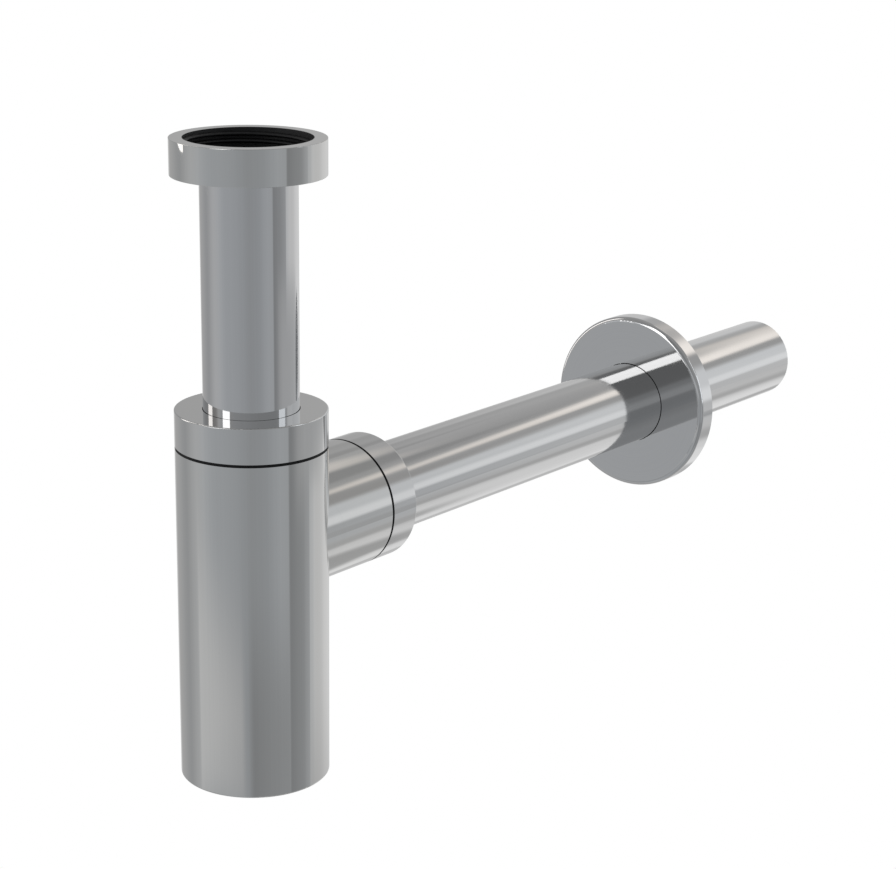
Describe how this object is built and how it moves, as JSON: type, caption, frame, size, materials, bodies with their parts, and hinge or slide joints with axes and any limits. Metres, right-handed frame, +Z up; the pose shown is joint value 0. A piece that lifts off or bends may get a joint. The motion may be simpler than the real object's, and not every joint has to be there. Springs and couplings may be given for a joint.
{
  "type": "basin bottle trap",
  "caption": "Bottle trap for a washbasin: height-adjustable inlet tube with union nut, bottle chamber with screw cap, side outlet tube and sliding wall rosette.",
  "frame": {"origin": "centre of the inlet nut's top face", "axes": "+Z up along the inlet tube, +Y along the outlet tube towards the wall, +X across"},
  "size_m": [0.07, 0.3475, 0.2186],
  "materials": {
    "chrome": "polished chrome plate on brass",
    "rubber": "black rubber",
    "slip_plastic": "natural polyethylene"
  },
  "bodies": {
    "bottle": {"bottle_body": "chrome", "cap_edge_ring": "rubber", "outlet_edge_ring": "rubber"},
    "cap_seal": {"cap_tube_seal": "rubber"},
    "inlet_pipe": {"inlet_tube": "chrome", "inlet_gasket": "rubber"},
    "inlet_slip": {"inlet_slip_ring": "slip_plastic"},
    "inlet_union": {"inlet_nut": "chrome"},
    "cap_slip": {"cap_slip_ring": "slip_plastic"},
    "cap": {"cap_nut": "chrome"},
    "outlet_slip": {"outlet_slip_ring": "slip_plastic"},
    "outlet_union": {"outlet_nut": "chrome"},
    "outlet_seal": {"outlet_tube_seal": "rubber"},
    "outlet_pipe": {"outlet_tube": "chrome"},
    "rosette_grip": {"rosette_ring": "rubber"},
    "wall_rosette": {"rosette": "chrome"}
  },
  "joints": [
    {"name": "inlet_swivel", "type": "hinge", "parent": "bottle", "child": "cap_seal", "pos_m": [0, 0, -0.096], "axis": [0, 0, 1], "continuous": true},
    {"name": "inlet_height", "type": "slide", "parent": "cap_seal", "child": "inlet_pipe", "axis": [0, 0, 1], "range_m": [-0.008, 0.025]},
    {"name": "inlet_nut_drop", "type": "slide", "parent": "inlet_pipe", "child": "inlet_slip", "axis": [0, 0, -1], "range_m": [0, 0.06]},
    {"name": "inlet_nut_turn", "type": "hinge", "parent": "inlet_slip", "child": "inlet_union", "pos_m": [0, 0, -0.006], "axis": [0, 0, 1], "continuous": true},
    {"name": "cap_rise", "type": "slide", "parent": "bottle", "child": "cap_slip", "axis": [0, 0, 1], "range_m": [0, 0.006]},
    {"name": "cap_turn", "type": "hinge", "parent": "cap_slip", "child": "cap", "pos_m": [0, 0, -0.096], "axis": [0, 0, 1], "range_deg": [0, 1080]},
    {"name": "outlet_nut_travel", "type": "slide", "parent": "bottle", "child": "outlet_slip", "axis": [0, 1, 0], "range_m": [0, 0.006]},
    {"name": "outlet_nut_turn", "type": "hinge", "parent": "outlet_slip", "child": "outlet_union", "pos_m": [0, 0.053, -0.1336], "axis": [0, 1, 0], "range_deg": [0, 1080]},
    {"name": "outlet_swivel", "type": "hinge", "parent": "bottle", "child": "outlet_seal", "pos_m": [0, 0.052, -0.1336], "axis": [0, 1, 0], "continuous": true},
    {"name": "outlet_depth", "type": "slide", "parent": "outlet_seal", "child": "outlet_pipe", "axis": [0, 1, 0], "range_m": [-0.008, 0.02]},
    {"name": "rosette_slide", "type": "slide", "parent": "outlet_pipe", "child": "rosette_grip", "axis": [0, 1, 0], "range_m": [-0.145, 0.088]},
    {"name": "rosette_turn", "type": "hinge", "parent": "rosette_grip", "child": "wall_rosette", "pos_m": [0, 0.226, -0.1336], "axis": [0, 1, 0], "continuous": true}
  ],
  "couplings": [
    {"joint": "cap_rise", "follows": "cap_turn", "m_per_rad": 0.0003183},
    {"joint": "outlet_nut_travel", "follows": "outlet_nut_turn", "m_per_rad": 0.0003183}
  ]
}
